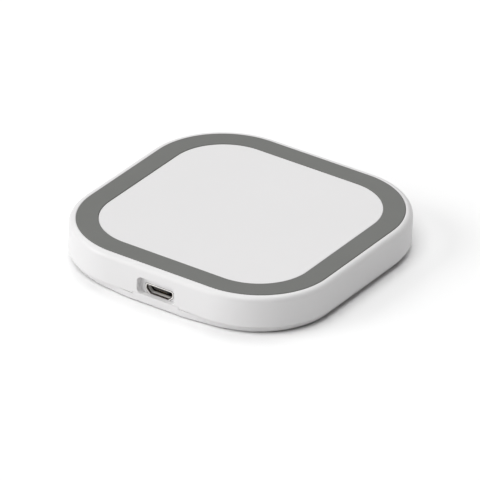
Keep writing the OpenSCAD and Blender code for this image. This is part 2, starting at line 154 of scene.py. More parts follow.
class Graph:
    """A node tree that is filled through one method."""

    def __init__(self, tree):
        self.tree = tree

    def add(self, kind, settings=None, sockets=None):
        """New node of that kind. Settings go first; a socket is named by its identifier or number."""
        node = self.tree.nodes.new(kind)
        for name, setting in (settings or {}).items():
            setattr(node, name, setting)
        for key, value in (sockets or {}).items():
            if isinstance(key, str):
                socket = [s for s in node.inputs if s.identifier == key][0]
            else:
                socket = node.inputs[key]
            if isinstance(value, Value):
                self.tree.links.new(value.socket, socket)
            else:
                socket.default_value = value
        return Node(self, node)

    def maths(self, operation, *values):
        """Math node of that operation on the values, in order."""
        return self.add("ShaderNodeMath", {"operation": operation}, dict(enumerate(values)))["Value"]

    def scaled(self, vector, factor):
        """Vector made that many times as long."""
        sockets = {"Vector": vector, "Scale": factor}
        return self.add("ShaderNodeVectorMath", {"operation": "SCALE"}, sockets)["Vector"]

    def blend(self, share, first, second):
        """Colour that goes from first to second as share goes from 0 to 1."""
        sockets = {"Factor_Float": share, "A_Color": first, "B_Color": second}
        return self.add("ShaderNodeMix", {"data_type": "RGBA"}, sockets)["Result_Color"]

    def noise(self, place, size, detail=2.0):
        """Soft noise from 0 to 1, with features of about that size in metres."""
        sockets = {"Vector": place, "Scale": 1 / size, "Detail": detail}
        return self.add("ShaderNodeTexNoise", {}, sockets)["Fac"]

    def cells(self, place, size):
        """Distance from the nearest of many scattered points, about that size apart."""
        return self.add("ShaderNodeTexVoronoi", {}, {"Vector": place, "Scale": 1 / size})["Distance"]

    def stretched(self, place, scale, turn=0.0):
        """Coordinates turned about Z and stretched, for patterns with a direction."""
        sockets = {"Vector": place, "Rotation": (0, 0, turn), "Scale": scale}
        return self.add("ShaderNodeMapping", {}, sockets)["Vector"]

    def rise(self, value, start, end):
        """0 below start, 1 above end, smooth between them."""
        settings = {"interpolation_type": "SMOOTHSTEP"}
        sockets = {"Value": value, "From Min": start, "From Max": end}
        return self.add("ShaderNodeMapRange", settings, sockets)["Result"]

    def relief(self, height, depth, under=None):
        """Normal of a surface whose height from 0 to 1 spans that depth in metres."""
        sockets = {"Height": height, "Distance": depth, "Strength": 1.0}
        if under is not None:
            sockets["Normal"] = under
        return self.add("ShaderNodeBump", {}, sockets)["Normal"]


def rgba(colour, factor=1.0):
    """Four channels of a colour, made lighter or darker by factor."""
    return (colour[0] * factor, colour[1] * factor, colour[2] * factor, 1.0)


FINISHES = {}


def new_material(name, paint):
    """Keeps a new finish, whose Principled shader takes the sockets that paint(graph, place) returns."""
    made = bpy.data.materials.new(name)
    made.use_nodes = True
    made.node_tree.nodes.clear()
    graph = Graph(made.node_tree)
    place = graph.add("ShaderNodeTexCoord")["Object"]
    shader = graph.add("ShaderNodeBsdfPrincipled", {}, paint(graph, place))
    graph.add("ShaderNodeOutputMaterial", {}, {"Surface": shader["BSDF"]})
    FINISHES[name] = made


# Finishes

def moulded_plastic(name, colour, gloss, grain, grain_depth):
    """Moulded plastic with the fine spark-eroded grain of its mould, faint flow marks and light rubbing."""

    def paint(graph, place):
        flow = graph.noise(place, 0.018, 3.0)
        speck = graph.noise(place, grain * 0.6, 1.0)
        pits = graph.cells(place, grain)
        rub = graph.noise(graph.stretched(place, (1, 14, 1), 0.6), 0.006, 4.0)
        scuffs = graph.rise(rub, 0.66, 0.74)
        tint = graph.blend(flow, rgba(colour, 0.985), rgba(colour, 1.01))
        grained = graph.relief(pits * 0.7 + speck * 0.3, grain_depth)
        return {
            "Base Color": tint,
            "Roughness": gloss + flow * 0.05 + scuffs * 0.05 + speck * 0.04,
            "Normal": graph.relief(flow, 0.00001, grained),
            "IOR": 1.5,
        }

    new_material(name, paint)


def silicone(name, colour):
    """Matt silicone rubber: a close grain, slight clouding and a few pale specks of lint."""

    def paint(graph, place):
        clouds = graph.noise(place, 0.009, 3.0)
        grain = graph.noise(place, 0.00022, 3.0)
        specks = graph.rise(graph.cells(place, 0.0045), 0.035, 0.02)
        body = graph.blend(clouds, rgba(colour, 0.95), rgba(colour, 1.06))
        dusted = graph.blend(specks * 0.25, body, rgba(colour, 1.9))
        return {
            "Base Color": dusted,
            "Roughness": 0.62 + grain * 0.14,
            "Normal": graph.relief(grain, 0.00001),
            "Sheen Weight": 0.12,
            "Sheen Roughness": 0.5,
            "IOR": 1.42,
        }

    new_material(name, paint)


def metal(name, colour, gloss, brush, brush_depth):
    """Plated or drawn metal with fine lines along Y, dull patches and small dents."""

    def paint(graph, place):
        lines = graph.noise(graph.stretched(place, (1, 0.05, 1)), brush, 3.0)
        dull = graph.noise(place, 0.0012, 3.0)
        tint = graph.blend(dull, rgba(colour, 0.88), rgba(colour, 1.05))
        return {
            "Base Color": tint,
            "Metallic": 1.0,
            "Roughness": gloss + lines * 0.12 + dull * 0.1,
            "Normal": graph.relief(lines, brush_depth),
        }

    new_material(name, paint)


def plating_with_painted_shade(name, colour, painted_shade_colour, mouth):
    """Dull tin plating with painted shade: a dark line just inside the mouth for the shadow at the metal's
    front edge, and darker deeper in for the shadow of the socket's roof.
    """

    def paint(graph, place):
        axes = graph.add("ShaderNodeSeparateXYZ", {}, {"Vector": place})
        depth = (axes["Y"] - mouth) * 1000
        lines = graph.noise(graph.stretched(place, (1, 0.05, 1)), 0.0002, 3.0)
        dull = graph.noise(place, 0.0012, 3.0)
        edge = depth + dull * 0.1
        # Painted shadow: a dark line from 0.1 to 0.6 mm behind the mouth, where the metal's front edge lies
        # in shade.
        line = graph.rise(edge, 0.1, 0.18) * graph.rise(edge, 0.6, 0.5)
        # Painted shade: darker from 1.2 mm in, where the socket's roof shades its floor.
        shade = line + graph.rise(edge, 1.2, 1.8)
        plated = graph.blend(dull, rgba(colour, 0.94), rgba(colour))
        return {
            "Base Color": graph.blend(shade * 0.97, plated, rgba(painted_shade_colour)),
            "Metallic": 0.25 + shade * 0.5,
            "Roughness": 0.5 + lines * 0.12 + dull * 0.06,
            "Normal": graph.relief(lines, 0.000003),
        }

    new_material(name, paint)


def litz_wire(name, colour):
    """Stranded copper under a thin enamel, a little darker between the strands."""

    def paint(graph, place):
        strands = graph.noise(place, 0.00009, 2.0)
        heat = graph.noise(place, 0.004, 2.0)
        base = graph.blend(strands, rgba(colour, 0.55), rgba(colour, 1.1))
        return {
            "Base Color": graph.blend(heat * 0.4, base, rgba((0.42, 0.13, 0.05))),
            "Metallic": 0.85,
            "Roughness": 0.3 + strands * 0.2,
            "Normal": graph.relief(strands, 0.00002),
            "Coat Weight": 0.4,
            "Coat Roughness": 0.15,
        }

    new_material(name, paint)


def sintered_ferrite(name, colour):
    """Dark sintered ferrite: sandy grain, sparse pores and a faint sheen."""

    def paint(graph, place):
        grain = graph.noise(place, 0.00012, 4.0)
        pores = graph.rise(graph.cells(place, 0.0009), 0.06, 0.12)
        patches = graph.noise(place, 0.006, 3.0)
        return {
            "Base Color": graph.blend(patches, rgba(colour, 0.8), rgba(colour, 1.35)),
            "Roughness": 0.52 + grain * 0.2,
            "Normal": graph.relief(grain * 0.3 + pores * 0.7, 0.00002),
            "Metallic": 0.1,
        }

    new_material(name, paint)


def film(name, colour, gloss):
    """Thin adhesive or insulating film with soft wrinkles and trapped air."""

    def paint(graph, place):
        wrinkles = graph.noise(graph.stretched(place, (1, 2.5, 1), 0.9), 0.005, 3.0)
        bubbles = graph.rise(graph.cells(place, 0.0024), 0.14, 0.08)
        body = graph.blend(wrinkles, rgba(colour, 0.9), rgba(colour, 1.08))
        return {
            "Base Color": graph.blend(bubbles * 0.3, body, rgba(colour, 1.3)),
            "Roughness": gloss + wrinkles * 0.15,
            "Normal": graph.relief(wrinkles + bubbles * 0.4, 0.00003),
        }

    new_material(name, paint)


def circuit_laminate(name, mask_colour, copper_colour):
    """Glass-epoxy board: solder mask over copper tracks and poured areas, with plated vias."""

    def paint(graph, place):
        axes = graph.add("ShaderNodeSeparateXYZ", {}, {"Vector": place})
        weave = graph.noise(place, 0.0004, 1.0)
        blocks = graph.noise(graph.stretched(place, (1, 0.15, 1)), 0.0022, 0.0)
        runs = graph.maths("PINGPONG", axes["X"] * 1000 + axes["Y"] * 180, 0.5)
        tracks = graph.rise(runs, 0.26, 0.3) * graph.rise(blocks, 0.48, 0.5)
        vias = graph.rise(graph.cells(place, 0.0042), 0.075, 0.06)
        masked = graph.blend(tracks, rgba(mask_colour, 0.8), rgba(mask_colour, 1.45))
        return {
            "Base Color": graph.blend(vias, masked, rgba(copper_colour)),
            "Metallic": vias * 0.9,
            "Roughness": 0.28 + weave * 0.12,
            "Normal": graph.relief(tracks + weave * 0.15, 0.00003),
        }

    new_material(name, paint)


def moulded_epoxy(name, colour):
    """Black chip body with the sandy finish of a moulded package."""

    def paint(graph, place):
        sand = graph.noise(place, 0.00008, 3.0)
        cloud = graph.noise(place, 0.002, 2.0)
        return {
            "Base Color": graph.blend(cloud, rgba(colour, 0.85), rgba(colour, 1.5)),
            "Roughness": 0.55 + sand * 0.15,
            "Normal": graph.relief(sand, 0.00001),
        }

    new_material(name, paint)


def fired_ceramic(name, colour):
    """Fired ceramic of a chip capacitor, speckled and slightly waxy."""

    def paint(graph, place):
        speckle = graph.noise(place, 0.00015, 4.0)
        return {
            "Base Color": graph.blend(speckle, rgba(colour, 0.75), rgba(colour, 1.2)),
            "Roughness": 0.38 + speckle * 0.12,
            "Normal": graph.relief(speckle, 0.00001),
        }

    new_material(name, paint)


# Outlines and meshes

def rounded(corners, closed=True, turn_step=math.radians(12)):
    """Points along an outline of (x, y, radius) corners, with an arc at each corner that has a radius."""
    points = []
    last = len(corners) - 1
    for i, (x, y, radius) in enumerate(corners):
        here = Vector((x, y))
        if radius == 0 or (not closed and i in (0, last)):
            points.append(here)
            continue
        before = (Vector(corners[i - 1][:2]) - here).normalized()
        after = (Vector(corners[(i + 1) % len(corners)][:2]) - here).normalized()
        opening = before.angle(after)
        centre = here + (before + after).normalized() * radius / math.sin(opening / 2)
        start = here + before * radius / math.tan(opening / 2) - centre
        turn = math.copysign(math.pi - opening, -before.cross(after))
        steps = max(2, round(abs(turn) / turn_step))
        for step in range(steps + 1):
            points.append(centre + Matrix.Rotation(turn * step / steps, 2) @ start)
    return points


def square_points(half, radius, steps=28):
    """Anticlockwise points round a square with round corners."""
    points = []
    for quarter in range(4):
        centre = Matrix.Rotation(quarter * QUARTER, 2) @ Vector((half - radius, half - radius))
        for step in range(steps + 1):
            angle = (quarter + step / steps) * QUARTER
            points.append(centre + radius * Vector((math.cos(angle), math.sin(angle))))
    return points


def loft(name, loops, closed=False):
    """Object through loops of equally many points. Its ends are capped unless it closes on itself."""
    work = bmesh.new()
    rings = [[work.verts.new(point) for point in loop] for loop in loops]
    following = rings[1:] + rings[:1] if closed else rings[1:]
    for ring, other in zip(rings, following):
        for i in range(len(ring)):
            j = (i + 1) % len(ring)
            work.faces.new((ring[i], ring[j], other[j], other[i]))
    if not closed:
        work.faces.new(rings[0])
        work.faces.new(rings[-1])
    return finish_mesh(name, work)


def finish_mesh(name, work):
    """Object from a bmesh, with its faces outwards."""
    bmesh.ops.recalc_face_normals(work, faces=work.faces)
    mesh = bpy.data.meshes.new(name)
    work.to_mesh(mesh)
    work.free()
    made = bpy.data.objects.new(name, mesh)
    bpy.context.scene.collection.objects.link(made)
    return made


def square_loft(name, profile, corner_radius):
    """Carries a profile of (inset, z) points round the body's outline."""
    loops = []
    for inset, z in profile:
        plan = square_points(HALF_SIDE - inset, corner_radius - inset)
        loops.append([(p.x, p.y, z) for p in plan])
    return loft(name, loops)


def front_loft(name, sections, closed=False):
    """Object through front-view outlines, each given as (y, points)."""
    loops = [[(p.x, y, p.y) for p in points] for y, points in sections]
    return loft(name, loops, closed)


def round_loft(name, profile, centre, steps=64):
    """Turns a profile of (radius, z) points round an upright axis."""
    loops = []
    for radius, z in profile:
        ring = []
        for step in range(steps):
            angle = math.tau * step / steps
            ring.append((centre[0] + radius * math.cos(angle), centre[1] + radius * math.sin(angle), z))
        loops.append(ring)
    return loft(name, loops)


def block(name, corner, other):
    """Plain box between two corners, used to cut or to join."""
    work = bmesh.new()
    bmesh.ops.create_cube(work, size=1)
    for vertex in work.verts:
        for axis in range(3):
            vertex.co[axis] = corner[axis] if vertex.co[axis] < 0 else other[axis]
    return finish_mesh(name, work)


def joined(name, parts):
    """One object from several, which are removed."""
    work = bmesh.new()
    for part in parts:
        work.from_mesh(part.data)
        bpy.data.objects.remove(part)
    return finish_mesh(name, work)


def combine(target, tool, operation):
    """Cuts the tool from the target or joins it on, and removes the tool."""
    step = target.modifiers.new("combine", "BOOLEAN")
    step.operation = operation
    step.solver = "EXACT"
    step.object = tool
    settle(target)
    bpy.data.objects.remove(tool)


def settle(target):
    """Turns what the modifiers make into the object's own plain mesh."""
    bpy.context.view_layer.update()
    graph = bpy.context.evaluated_depsgraph_get()
    mesh = bpy.data.meshes.new_from_object(target.evaluated_get(graph))
    mesh.name = target.name
    target.modifiers.clear()
    target.data = mesh


def softened_copy(name, node, width):
    """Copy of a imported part, merged and given small rounded edges."""
    work = bmesh.new()
    work.from_mesh(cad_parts[node].data)
    bmesh.ops.remove_doubles(work, verts=work.verts, dist=0.000002)
    limit = math.radians(0.5)
    bmesh.ops.dissolve_limit(work, angle_limit=limit, verts=work.verts, edges=work.edges)
    made = finish_mesh(name, work)
    edge = made.modifiers.new("soft edges", "BEVEL")
    edge.width = width
    edge.segments = 2
    edge.limit_method = "ANGLE"
    edge.angle_limit = math.radians(40)
    edge.harden_normals = True
    return made


def smooth(target, sharp_angle=32):
    """Smooth shading that keeps flat faces flat and creases sharp."""
    limit = math.radians(sharp_angle)
    work = bmesh.new()
    work.from_mesh(target.data)
    for face in work.faces:
        face.smooth = True
    for edge in work.edges:
        edge.smooth = len(edge.link_faces) == 2 and edge.calc_face_angle(0) < limit
    work.to_mesh(target.data)
    work.free()
    weighted = target.modifiers.new("flat faces", "WEIGHTED_NORMAL")
    weighted.keep_sharp = True
    weighted.weight = 80


def dress(target, finish, nodes):
    """Gives a piece its finish, its body and the parts it stands for."""
    target.data.materials.clear()
    target.data.materials.append(FINISHES[finish])
    for polygon in target.data.polygons:
        polygon.material_index = 0
    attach(target, BODY)
    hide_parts(*nodes)


def keep_part(node, finish):
    """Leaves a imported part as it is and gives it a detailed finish."""
    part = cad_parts[node]
    part.data.materials.clear()
    part.data.materials.append(FINISHES[finish])


# Sizes and colours a user would change

class PadShellSettings(bpy.types.PropertyGroup):
    """Sizes of the white top shell."""

    corner_radius: FloatProperty(
        name="Corner Radius", description="Radius of the body's corners in plan",
        default=0.0215, min=0.015, max=0.03, **LENGTH,
    )
    wall: FloatProperty(
        name="Wall", description="Thickness of the side walls",
        default=0.0018, min=0.001, max=0.0025, **LENGTH,
    )
    deck: FloatProperty(
        name="Deck", description="Thickness of the deck under the middle",
        default=0.0015, min=0.001, max=0.002, **LENGTH,
    )
    top_edge: FloatProperty(
        name="Top Edge", description="Radius of the top outer edge",
        default=0.0015, min=0.0003, max=0.0016, **LENGTH,
    )
    bottom_edge: FloatProperty(
        name="Bottom Edge", description="Radius of the bottom outer edge",
        default=0.0003, min=0.0002, max=0.001, **LENGTH,
    )
    groove_edge: FloatProperty(
        name="Groove Edge", description="Radius of the edges beside the grip ring",
        default=0.00015, min=0.00005, max=0.0003, **LENGTH,
    )
    recess_width: FloatProperty(
        name="Recess Width", description="Width of the recess round the socket",
        default=0.0109, min=0.009, max=0.013, **LENGTH,
    )
    recess_low: FloatProperty(
        name="Recess Foot", description="Height of the recess's lower edge",
        default=0.0026, min=0.002, max=0.003, **LENGTH,
    )
    recess_high: FloatProperty(
        name="Recess Head", description="Height of the recess's upper edge",
        default=0.007, min=0.006, max=0.0075, **LENGTH,
    )
    recess_depth: FloatProperty(
        name="Recess Depth", description="Depth of the recess round the socket",
        default=0.0015, min=0.001, max=0.002, **LENGTH,
    )
    recess_corner: FloatProperty(
        name="Recess Corner", description="Corner radius of the recess",
        default=0.0012, min=0.0006, max=0.0016, **LENGTH,
    )
    recess_lip: FloatProperty(
        name="Recess Lip", description="Radius of the edge where the recess leaves the face",
        default=0.0002, min=0.0001, max=0.0008, **LENGTH,
    )
    colour: FloatVectorProperty(
        name="Shell Colour", description="Colour of the shell's plastic",
        default=(0.745, 0.738, 0.74), **COLOUR,
    )


class PadBaseSettings(bpy.types.PropertyGroup):
    """Sizes of the base that closes the pad."""

    inset: FloatProperty(
        name="Inset", description="How far the base stands in from the shell's side",
        default=0.0008, min=0.0004, max=0.001, **LENGTH,
    )
    lean: FloatProperty(
        name="Lean", description="How far the base's side leans in towards the table",
        default=0.0003, min=0, max=0.0008, **LENGTH,
    )
    bottom_edge: FloatProperty(
        name="Bottom Edge", description="Radius where the base's side meets its underside",
        default=0.0003, min=0.0001, max=0.0006, **LENGTH,
    )
    edge: FloatProperty(
        name="Edge", description="Radius of the base's other edges",
        default=0.00012, min=0.00002, max=0.0002, **LENGTH,
    )
    apron_width: FloatProperty(
        name="Apron Width", description="Width of the part that stands flush under the socket",
        default=0.0134, min=0.012, max=0.015, **LENGTH,
    )
    apron_slope: FloatProperty(
        name="Apron Slope", description="Width over which each end of the apron eases back",
        default=0.012, min=0.006, max=0.012, **LENGTH,
    )
    colour: FloatVectorProperty(
        name="Base Colour", description="Colour of the base's plastic",
        default=(0.735, 0.728, 0.73), **COLOUR,
    )


class PadFixingSettings(bpy.types.PropertyGroup):
    """Sizes of the feet and screws."""

    foot_edge: FloatProperty(
        name="Foot Edge", description="Radius of each foot's lower edge",
        default=0.00025, min=0.0001, max=0.0004, **LENGTH,
    )
    foot_dish: FloatProperty(
        name="Foot Dish", description="Depth of the hollow in each foot's sole",
        default=0.00008, min=0, max=0.0002, **LENGTH,
    )
    head_height: FloatProperty(
        name="Head Height", description="Height of the screw heads",
        default=0.001, min=0.0008, max=0.0012, **LENGTH,
    )
    head_edge: FloatProperty(
        name="Head Edge", description="Radius round the top of the screw heads",
        default=0.0004, min=0.0001, max=0.0004, **LENGTH,
    )
    point_length: FloatProperty(
        name="Point Length", description="Length of the screws' points",
        default=0.0009, min=0.0006, max=0.0012, **LENGTH,
    )
    shank_radius: FloatProperty(
        name="Shank Radius", description="Radius over the thread",
        default=0.001, min=0.0008, max=0.0012, **LENGTH,
    )
    thread_depth: FloatProperty(
        name="Thread Depth", description="Height of the thread's ridge",
        default=0.00028, min=0.0001, max=0.0004, **LENGTH,
    )
    thread_pitch: FloatProperty(
        name="Thread Pitch", description="Distance from one ridge to the next",
        default=0.0008, min=0.0006, max=0.0012, **LENGTH,
    )
    drive_length: FloatProperty(
        name="Drive Length", description="Length of the cross recess",
        default=0.0022, min=0.0018, max=0.0026, **LENGTH,
    )
    drive_width: FloatProperty(
        name="Drive Width", description="Width of the cross recess",
        default=0.0005, min=0.0003, max=0.0007, **LENGTH,
    )
    drive_depth: FloatProperty(
        name="Drive Depth", description="Depth of the cross recess",
        default=0.00055, min=0.0003, max=0.0007, **LENGTH,
    )


class PadCoilSettings(bpy.types.PropertyGroup):
    """Sizes of the flat winding."""

    inner_radius: FloatProperty(
        name="Inner Radius", description="Radius of the innermost half-turn",
        default=0.0104, min=0.01, max=0.0106, **LENGTH,
    )
    half_turns: IntProperty(
        name="Half Turns", description="Whole half-turns in the winding", default=19, min=15, max=19,
    )
    turn_pitch: FloatProperty(
        name="Turn Pitch", description="Distance from one turn to the next",
        default=0.0014, min=0.00135, max=0.0014, **LENGTH,
    )
    outer_arc: FloatProperty(
        name="Outer Arc", description="Angle wound past the last whole half-turn",
        default=math.radians(27), **TURN,
    )
    strand_length: FloatProperty(
        name="Strand Length", description="Length of wire in which the strands go once round",
        default=0.011, min=0.008, max=0.03, **LENGTH,
    )
    points: IntProperty(
        name="Points", description="Points along the winding", default=2200, min=500, max=3000,
    )


class PadRingSettings(bpy.types.PropertyGroup):
    """Sizes of the grip ring."""

    width: FloatProperty(
        name="Width", description="Width of the grip ring's band",
        default=0.0055, min=0.003, max=0.007, **LENGTH,
    )
    edge: FloatProperty(
        name="Edge", description="Radius of the ring's upper edges",
        default=0.0002, min=0.00005, max=0.0003, **LENGTH,
    )
    gap: FloatProperty(
        name="Gap", description="Clearance between the ring and its groove",
        default=0.00004, min=0, max=0.0002, **LENGTH,
    )
    colour: FloatVectorProperty(
        name="Ring Colour", description="Colour of the ring's silicone",
        default=(0.149, 0.152, 0.144), **COLOUR,
    )


class PadStudioSettings(bpy.types.PropertyGroup):
    """Camera, lights and floor."""

    azimuth: FloatProperty(
        name="Azimuth", description="Camera's turn from the socket side towards +X",
        default=math.radians(33.49), **TURN,
    )
    elevation: FloatProperty(
        name="Elevation", description="Camera's angle above the table",
        default=math.radians(29.34), **TURN,
    )
    roll: FloatProperty(
        name="Roll", description="Camera's tilt about its own line of sight",
        default=math.radians(1.558), **TURN,
    )
    distance: FloatProperty(
        name="Distance", description="Distance from the camera to the point it looks at",
        default=1.714, min=0.3, **LENGTH,
    )
    lens: FloatProperty(
        name="Lens", description="Focal length", default=536, min=20, unit="CAMERA",
    )
    aim: FloatVectorProperty(
        name="Aim", description="Point the camera looks at, beside the middle of the pad's top",
        default=(0.00743, -0.01145), size=2, subtype="XYZ", unit="LENGTH",
    )
    key_strength: FloatProperty(
        name="Key Strength", description="Light from the key, in watts per square metre",
        default=1.66, min=0,
    )
    key_azimuth: FloatProperty(
        name="Key Azimuth", description="Key light's turn from the socket side towards -X",
        default=math.radians(45), **TURN,
    )
    key_elevation: FloatProperty(
        name="Key Elevation", description="Key light's angle above the table",
        default=math.radians(22.5), **TURN,
    )
    back_strength: FloatProperty(
        name="Back Strength", description="Light from behind, in watts per square metre",
        default=0.5, min=0,
    )
    back_azimuth: FloatProperty(
        name="Back Azimuth", description="Back light's turn from the socket side towards -X",
        default=math.radians(135), **TURN,
    )
    back_elevation: FloatProperty(
        name="Back Elevation", description="Back light's angle above the table",
        default=math.radians(45), **TURN,
    )
    front_strength: FloatProperty(
        name="Front Strength", description="Light from high on the socket side, in watts per square metre",
        default=1.3, min=0,
    )
    rear_strength: FloatProperty(
        name="Rear Strength", description="Light from high on the far side, in watts per square metre",
        default=1.0, min=0,
    )
    overhead_elevation: FloatProperty(
        name="Overhead Elevation", description="Angle of the two high lights above the table",
        default=math.radians(67.5), **TURN,
    )
    softness: FloatProperty(
        name="Softness", description="How wide each light looks from the pad",
        default=math.radians(40), min=0, max=math.pi, **TURN,
    )
    surround: FloatProperty(
        name="Surround", description="Brightness of the room all round", default=0.08, min=0,
    )
    floor_colour: FloatVectorProperty(
        name="Floor Colour", description="Colour of the pale floor",
        default=(0.98, 0.98, 0.98), **COLOUR,
    )


# One operator for each piece or group of like pieces

class PAD_OT_finishes(bpy.types.Operator):
    """Make every finish that the pad's pieces use"""

    bl_idname = "pad.finishes"
    bl_label = "Finishes"

    def execute(self, context):
        shell = context.scene.pad_shell
        base = context.scene.pad_base
        ring = context.scene.pad_ring
        grey_silicone = (0.42, 0.42, 0.41)
        bright_tin = (0.93, 0.91, 0.89)
        # Colour of the painted shade inside the socket's mouth.
        painted_shade_tin = (0.03, 0.018, 0.014)
        solder_mask = (0.018, 0.13, 0.05)
        copper = (0.8, 0.6, 0.32)
        moulded_plastic("shell_plastic", shell.colour, gloss=0.34, grain=0.00022, grain_depth=0.0000045)
        moulded_plastic("base_plastic", base.colour, gloss=0.46, grain=0.0003, grain_depth=0.000009)
        silicone("ring_silicone", ring.colour)
        silicone("foot_silicone", grey_silicone)
        film("adhesive_film", (0.78, 0.77, 0.72), gloss=0.3)
        film("insulating_film", (0.58, 0.27, 0.04), gloss=0.18)
        metal("screw_steel", (0.62, 0.61, 0.59), gloss=0.22, brush=0.00012, brush_depth=0.000003)
        # The socket's plating carries painted shade inside its mouth.
        plating_with_painted_shade("socket_steel", bright_tin, painted_shade_tin, mouth=low("usb_shell").y)
        metal("tinned_metal", (0.74, 0.73, 0.72), gloss=0.3, brush=0.00015, brush_depth=0.000003)
        metal("solder", (0.7, 0.7, 0.69), gloss=0.16, brush=0.0004, brush_depth=0.00001)
        metal("contact_gold", (0.86, 0.62, 0.26), gloss=0.2, brush=0.00008, brush_depth=0.000002)
        moulded_epoxy("socket_nylon", (0.022, 0.021, 0.02))
        moulded_epoxy("chip_epoxy", (0.026, 0.026, 0.028))
        litz_wire("litz_copper", (0.82, 0.38, 0.17))
        sintered_ferrite("ferrite", (0.045, 0.045, 0.05))
        circuit_laminate("laminate", solder_mask, copper)
        fired_ceramic("ceramic", (0.5, 0.34, 0.19))
        return {"FINISHED"}


class PAD_OT_shell(bpy.types.Operator):
    """Mould the white top shell, with the ring's groove, the socket's recess, posts and coil fence"""

    bl_idname = "pad.shell"
    bl_label = "Top Shell"

    def execute(self, context):
        size = context.scene.pad_shell
        ring = context.scene.pad_ring
        groove_floor = low("ring_tape").z
        deck_level = RIM_LEVEL - size.deck
        groove_in = RIM_WIDTH + ring.width
        inner_edge = 0.0001
        inner_corner = 0.0004
        profile = rounded([
            (groove_in + 0.002, RIM_LEVEL, 0),
            (groove_in, RIM_LEVEL, size.groove_edge),
            (groove_in, groove_floor, 0),
            (RIM_WIDTH, groove_floor, 0),
            (RIM_WIDTH, RIM_LEVEL, size.groove_edge),
            (0, RIM_LEVEL, size.top_edge),
            (0, SHELL_EDGE, size.bottom_edge),
            (size.wall, SHELL_EDGE, inner_edge),
            (size.wall, deck_level, inner_corner),
            (size.wall + 0.003, deck_level, 0),
        ], closed=False, turn_step=math.radians(7.5))
        shell = square_loft("top_shell_moulding", profile, size.corner_radius)
        combine(shell, self.inner_features(size, deck_level), "UNION")
        combine(shell, self.pilot_holes(), "DIFFERENCE")
        combine(shell, self.recess(size), "DIFFERENCE")
        combine(shell, self.mouth_opening(size), "DIFFERENCE")
        combine(shell, self.apron_opening(size), "DIFFERENCE")
        smooth(shell)
        dress(shell, "shell_plastic", ["top_shell"])
        return {"FINISHED"}

    def inner_features(self, size, deck_level):
        """Screw posts, coil fence and the wall behind the socket's recess."""
        parts = []
        head = deck_level + LAP
        post_foot = 0.0034
        post_radius = 0.0024
        post_edge = 0.0002
        post = rounded([
            (2 * TIP, post_foot, 0), (post_radius, post_foot, post_edge),
            (post_radius, head, 0), (2 * TIP, head, 0),
        ], closed=False)
        for place in FOOT_PLACES:
            parts.append(round_loft("post", post, place, steps=40))
        mouth_plane = -HALF_SIDE + size.recess_depth
        wall_half = 0.0075
        wall_thickness = 0.0012
        corner = (-wall_half, mouth_plane - 2 * LAP, SHELL_EDGE + PAST)
        other = (wall_half, mouth_plane + wall_thickness, head)
        parts.append(block("port wall", corner, other))
        for start in (27, 117, 244):
            parts.append(self.fence(start, sweep=36, head=head))
        return joined("inner features", parts)

    def fence(self, start, sweep, head):
        """One low arc under the deck, at those degrees, that holds the ferrite disc in place."""
        foot = low("ferrite_shield").z
        clearance = 0.0004
        edge = 0.0002
        inner = high("ferrite_shield").x + clearance
        outer = inner + 0.0008
        section = rounded([(inner, head, 0), (inner, foot, edge), (outer, foot, edge), (outer, head, 0)])
        steps = 18
        loops = []
        for step in range(steps + 1):
            angle = math.radians(start + sweep * step / steps)
            loops.append([(p.x * math.cos(angle), p.x * math.sin(angle), p.y) for p in section])
        return loft("fence", loops)

    def pilot_holes(self):
        """Blind holes for the four screws."""
        radius = 0.00085
        clearance = 0.00005
        hole = [(radius, 0.003), (radius, high("base_screws").z + clearance)]
        return joined("pilots", [round_loft("pilot", hole, place, steps=32) for place in FOOT_PLACES])

    def recess(self, size):
        """Cutter for the recess, with a rounded lip at the face and a small radius round its floor."""
        face = -HALF_SIDE
        floor = face + size.recess_depth
        inner = 0.00012
        lip = size.recess_lip
        first = math.radians(8)
        flared = 0.6 * lip
        steps = 9
        sections = [(face - 0.001, self.recess_outline(size, flared + lip * (1 - math.sin(first))))]
        for step in range(steps + 1):
            angle = first + (QUARTER - first) * step / steps
            grow = lip * (1 - math.sin(angle))
            sections.append((face + lip * (1 - math.cos(angle)), self.recess_outline(size, grow)))
        steps = 6
        for step in range(1, steps + 1):
            angle = QUARTER * step / steps
            grow = -inner * (1 - math.cos(angle))
            sections.append((floor - inner * (1 - math.sin(angle)), self.recess_outline(size, grow)))
        return front_loft("recess", sections)

    def recess_outline(self, size, grow):
        """Front-view outline of the recess, grown or shrunk all round."""
        half = size.recess_width / 2 + grow
        foot = size.recess_low - grow
        head = size.recess_high + grow
        radius = size.recess_corner + grow
        corners = [(half, foot, radius), (half, head, radius), (-half, head, radius), (-half, foot, radius)]
        return rounded(corners, turn_step=math.radians(9))

    def mouth_opening(self, size):
        """Cutter for the socket's opening through the wall behind the recess."""
        plane = -HALF_SIDE + size.recess_depth
        wide = 0.00065
        edge = 0.0001
        sections = [
            (plane - 4 * PAST, mouth_outline(wide + edge + PAST)),
            (plane, mouth_outline(wide + edge)),
            (plane + edge, mouth_outline(wide)),
            (plane + 0.002, mouth_outline(wide)),
        ]
        return front_loft("mouth", sections)

    def apron_opening(self, size):
        """Cutter for the gap in the shell's lower edge that the base's apron closes."""
        half = 0.00675
        foot = 0.0005
        head = size.recess_low + 0.00003
        outline = rounded([(half, foot, 0), (half, head, 0), (-half, head, 0), (-half, foot, 0)])
        return front_loft("apron gap", [(-HALF_SIDE - 0.001, outline), (-HALF_SIDE + 0.0044, outline)])


